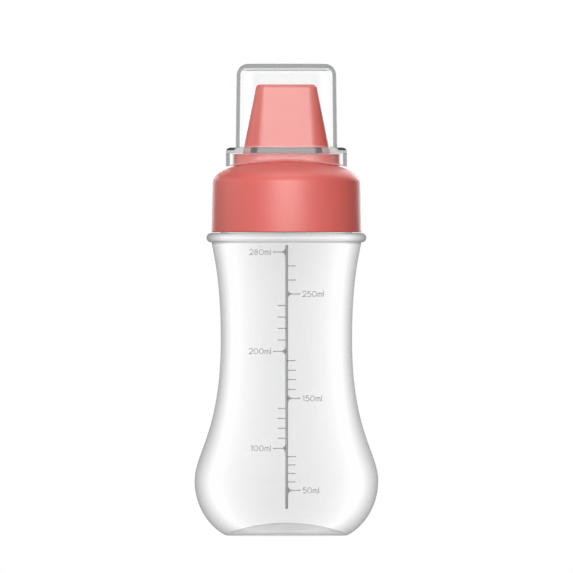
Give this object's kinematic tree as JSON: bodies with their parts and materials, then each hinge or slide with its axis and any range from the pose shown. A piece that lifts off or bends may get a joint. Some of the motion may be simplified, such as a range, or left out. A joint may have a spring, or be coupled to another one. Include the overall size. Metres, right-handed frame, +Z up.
{
  "type": "condiment squeeze bottle",
  "caption": "Waisted translucent squeeze bottle with a domed screw collar, a tall flat nozzle with a row of holes, and a clear pull-off dust cap.",
  "frame": {"origin": "centre of the bottle's standing face, on the bottle's axis", "axes": "+Z up along the bottle's axis, +X along the long way of the nozzle, -Y towards the printed volume scale"},
  "size_m": [0.0716, 0.0716, 0.1839],
  "materials": {
    "translucent_bottle": "milky translucent blow-moulded soft polyethylene, satin",
    "silicone_ring": "natural white silicone rubber",
    "coral_collar": "coral moulded polypropylene, semi-gloss",
    "coral_nozzle": "coral moulded polypropylene, semi-gloss",
    "clear_cap": "clear injection-moulded styrene, polished",
    "scale_print": "thin grey pad-printed ink"
  },
  "bodies": {
    "bottle": {"bottle_body": "translucent_bottle"},
    "gasket": {"neck_gasket": "silicone_ring"},
    "collar": {"screw_collar": "coral_collar", "nozzle": "coral_nozzle"},
    "dust_cap": {"dust_cap": "clear_cap"}
  },
  "joints": [
    {"name": "collar_rise", "type": "slide", "parent": "bottle", "child": "gasket", "axis": [0, 0, 1], "range_m": [0, 0.00676]},
    {"name": "collar_turn", "type": "hinge", "parent": "gasket", "child": "collar", "pos_m": [0, 0, 0.1372], "axis": [0, 0, 1], "range_deg": [0, 540]},
    {"name": "dust_cap_pull", "type": "slide", "parent": "collar", "child": "dust_cap", "axis": [0, 0, 1], "range_m": [0, 0.045]}
  ],
  "couplings": [
    {"joint": "collar_rise", "follows": "collar_turn", "m_per_rad": 0.0007162}
  ]
}
